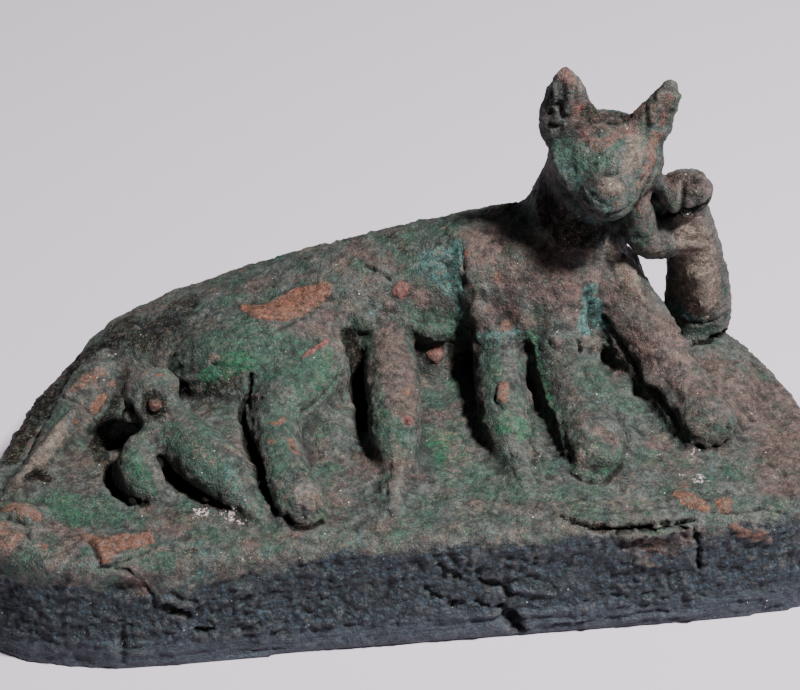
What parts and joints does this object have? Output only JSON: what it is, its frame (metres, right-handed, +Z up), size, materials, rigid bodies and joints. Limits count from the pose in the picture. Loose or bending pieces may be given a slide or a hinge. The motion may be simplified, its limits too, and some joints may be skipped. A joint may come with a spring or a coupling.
{
  "type": "bronze statuette of a reclining cat with kittens",
  "caption": "Ancient cast bronze of a mother cat lying on a rounded slab plinth with her suckling and climbing kittens, heavily corroded",
  "frame": {"origin": "middle of the flat underside of the plinth", "axes": "+Z up, +X along the plinth towards the mother's head end, -Y the side that her face and paws point to"},
  "size_m": [0.1118, 0.057, 0.0592],
  "materials": {
    "corroded_bronze": "matt excavated bronze, brown to green corrosion crust with copper-red patches and a charcoal plinth edge"
  },
  "bodies": {
    "root": {"cat_with_kittens": "corroded_bronze"}
  },
  "joints": []
}
